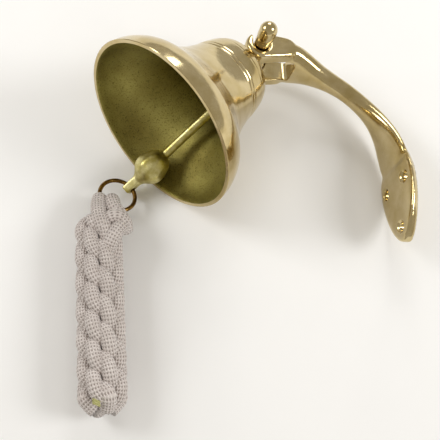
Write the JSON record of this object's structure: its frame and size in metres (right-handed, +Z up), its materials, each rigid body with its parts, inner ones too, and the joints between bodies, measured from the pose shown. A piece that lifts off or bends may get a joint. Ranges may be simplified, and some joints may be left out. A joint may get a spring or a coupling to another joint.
{
  "type": "ship bell",
  "caption": "Small brass ship bell with swinging clapper, hung from a forked wall bracket by its cross pin, with a ring and a knotted cotton lanyard on the clapper.",
  "frame": {"origin": "middle of the bracket foot's flat back face, between its screw holes", "axes": "+Z up from the surface that the folded bell lies on, -Y along the lanyard, +X from the bell towards the foot"},
  "size_m": [0.2307, 0.2599, 0.1231],
  "materials": {
    "polished_brass": "polished cast brass",
    "rough_brass": "brass as cast, unpolished",
    "bronze_wire": "dark brass wire",
    "cotton_cord": "braided cotton cord",
    "sewing_thread": "waxed thread"
  },
  "bodies": {
    "bracket": {"wall_bracket": "polished_brass"},
    "bell": {"bell_shell": "polished_brass", "crown_lug": "polished_brass", "crown_washer": "rough_brass", "crown_nut": "rough_brass", "cross_pin": "polished_brass", "clapper_staple": "rough_brass"},
    "clapper": {"clapper": "rough_brass"},
    "ring": {"lanyard_ring": "bronze_wire"},
    "lanyard": {"lanyard": "cotton_cord", "lanyard_stitching": "sewing_thread"}
  },
  "joints": [
    {"name": "bell_swing", "type": "hinge", "parent": "bracket", "child": "bell", "pos_m": [-0.10325, 0.10159, 0.01328], "axis": [0.2462, 0.1246, 0.9612], "range_deg": [-43, 54]},
    {"name": "clapper_swing", "type": "hinge", "parent": "bell", "child": "clapper", "pos_m": [-0.11912, 0.07092, 0.02132], "axis": [-0.7044, 0.7041, 0.0892], "range_deg": [0, 71]},
    {"name": "ring_swing", "type": "hinge", "parent": "clapper", "child": "ring", "pos_m": [-0.19088, 0.01259, -0.01345], "axis": [-0.7044, 0.7041, 0.0892], "range_deg": [-60, 20]},
    {"name": "lanyard_swing", "type": "hinge", "parent": "ring", "child": "lanyard", "pos_m": [-0.20307, -0.00708, -0.00486], "axis": [-0.8845, 0.4137, 0.2159], "range_deg": [-25, 25]}
  ]
}
